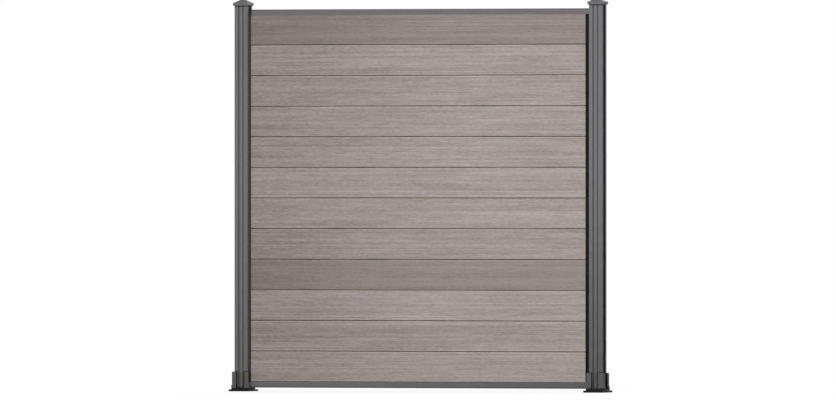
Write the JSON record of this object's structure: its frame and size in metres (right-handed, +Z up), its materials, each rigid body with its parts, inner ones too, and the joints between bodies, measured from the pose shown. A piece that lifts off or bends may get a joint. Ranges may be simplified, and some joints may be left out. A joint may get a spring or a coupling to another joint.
{
  "type": "composite fence panel",
  "caption": "Free-standing bay of horizontal wood-plastic composite boards held between slotted aluminium posts on bolt-down base plates, with capping rails.",
  "frame": {"origin": "on the ground, midway between the two posts, in the middle of the fence's thickness", "axes": "+X along the fence, to the right as seen from the front; -Y is the front; +Z up"},
  "size_m": [1.942, 0.15, 1.926],
  "materials": {
    "boards": "brushed wood-plastic composite, warm grey",
    "rails": "powder-coated, fine matt grey",
    "posts": "powder-coated, fine matt grey",
    "cover_strips": "powder-coated, fine matt grey",
    "caps": "powder-coated, fine matt grey",
    "shoes": "powder-coated casting, dark grey",
    "base_plates": "coated steel, black",
    "edge_seals": "matt black"
  },
  "bodies": {
    "root": {"board_01": "boards", "board_02": "boards", "board_03": "boards", "board_04": "boards", "board_05": "boards", "board_06": "boards", "board_07": "boards", "board_08": "boards", "board_09": "boards", "board_10": "boards", "board_11": "boards", "board_12": "boards", "bottom_rail": "rails", "top_rail": "rails", "post_left": "posts", "base_plate_left": "base_plates", "post_shoe_left": "shoes", "post_cap_left": "caps", "cover_strip_left_front": "cover_strips", "edge_seal_left_front": "edge_seals", "cover_strip_left_back": "cover_strips", "edge_seal_left_back": "edge_seals", "post_right": "posts", "base_plate_right": "base_plates", "post_shoe_right": "shoes", "post_cap_right": "caps", "cover_strip_right_front": "cover_strips", "edge_seal_right_front": "edge_seals", "cover_strip_right_back": "cover_strips", "edge_seal_right_back": "edge_seals"}
  },
  "joints": []
}
